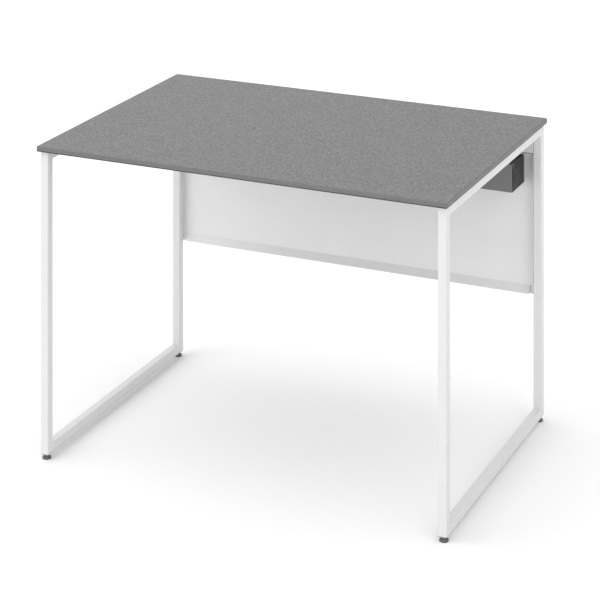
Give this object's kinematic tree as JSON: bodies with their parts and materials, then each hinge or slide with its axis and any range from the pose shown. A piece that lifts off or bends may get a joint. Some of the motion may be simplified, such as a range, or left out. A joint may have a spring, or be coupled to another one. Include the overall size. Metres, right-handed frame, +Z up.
{
  "type": "office desk",
  "caption": "Plain office desk: thin laminate top on two closed steel loop legs, with a sheet modesty panel, a rear cable tray and levelling feet.",
  "frame": {"origin": "on the floor, under the centre of the desktop", "axes": "+X to the user's right along the desk's width, +Y to the back, where the modesty panel is, +Z up"},
  "size_m": [1, 0.7, 0.72],
  "materials": {
    "laminate_top": "fine-speckled dark grey laminate, matt",
    "edge_band": "matt grey plastic edging",
    "white_paint": "white powder coat, fine texture",
    "white_screw": "white-coated pan-head screw",
    "grey_paint": "dark grey powder coat, fine texture",
    "end_cap": "near-black moulded plastic, fine texture",
    "zinc_steel": "bright zinc-plated steel",
    "foot_plastic": "dark grey moulded nylon on a thin black base"
  },
  "bodies": {
    "desk": {"desktop_board": "laminate_top", "desktop_edge_band": "edge_band", "front_beam": "white_paint", "rear_beam": "white_paint", "modesty_panel": "white_paint", "cable_tray": "grey_paint", "tray_end_left": "end_cap", "tray_end_right": "end_cap", "tray_screw_left": "zinc_steel", "tray_nut_left": "zinc_steel", "tray_screw_middle": "zinc_steel", "tray_nut_middle": "zinc_steel", "tray_screw_right": "zinc_steel", "tray_nut_right": "zinc_steel", "left_front_leg": "white_paint", "left_rear_leg": "white_paint", "left_top_rail": "white_paint", "left_bottom_rail": "white_paint", "left_front_bracket": "white_paint", "left_rear_bracket": "white_paint", "left_front_a_bolt": "zinc_steel", "left_front_b_bolt": "zinc_steel", "left_rear_a_bolt": "zinc_steel", "left_rear_b_bolt": "zinc_steel", "left_front_a_top_screw": "zinc_steel", "left_front_b_top_screw": "zinc_steel", "left_rear_a_top_screw": "zinc_steel", "left_rear_b_top_screw": "zinc_steel", "left_panel_screw_low": "white_screw", "left_panel_screw_high": "white_screw", "left_front_foot_insert": "zinc_steel", "left_rear_foot_insert": "zinc_steel", "right_front_leg": "white_paint", "right_rear_leg": "white_paint", "right_top_rail": "white_paint", "right_bottom_rail": "white_paint", "right_front_bracket": "white_paint", "right_rear_bracket": "white_paint", "right_front_a_bolt": "zinc_steel", "right_front_b_bolt": "zinc_steel", "right_rear_a_bolt": "zinc_steel", "right_rear_b_bolt": "zinc_steel", "right_front_a_top_screw": "zinc_steel", "right_front_b_top_screw": "zinc_steel", "right_rear_a_top_screw": "zinc_steel", "right_rear_b_top_screw": "zinc_steel", "right_panel_screw_low": "white_screw", "right_panel_screw_high": "white_screw", "right_front_foot_insert": "zinc_steel", "right_rear_foot_insert": "zinc_steel"},
    "foot_left_front": {"left_front_foot_glide": "foot_plastic", "left_front_foot_stem": "zinc_steel"},
    "foot_left_rear": {"left_rear_foot_glide": "foot_plastic", "left_rear_foot_stem": "zinc_steel"},
    "foot_right_front": {"right_front_foot_glide": "foot_plastic", "right_front_foot_stem": "zinc_steel"},
    "foot_right_rear": {"right_rear_foot_glide": "foot_plastic", "right_rear_foot_stem": "zinc_steel"}
  },
  "joints": [
    {"name": "foot_left_front_height", "type": "slide", "parent": "desk", "child": "foot_left_front", "axis": [0, 0, -1], "range_m": [0, 0.01]},
    {"name": "foot_left_rear_height", "type": "slide", "parent": "desk", "child": "foot_left_rear", "axis": [0, 0, -1], "range_m": [0, 0.01]},
    {"name": "foot_right_front_height", "type": "slide", "parent": "desk", "child": "foot_right_front", "axis": [0, 0, -1], "range_m": [0, 0.01]},
    {"name": "foot_right_rear_height", "type": "slide", "parent": "desk", "child": "foot_right_rear", "axis": [0, 0, -1], "range_m": [0, 0.01]}
  ]
}
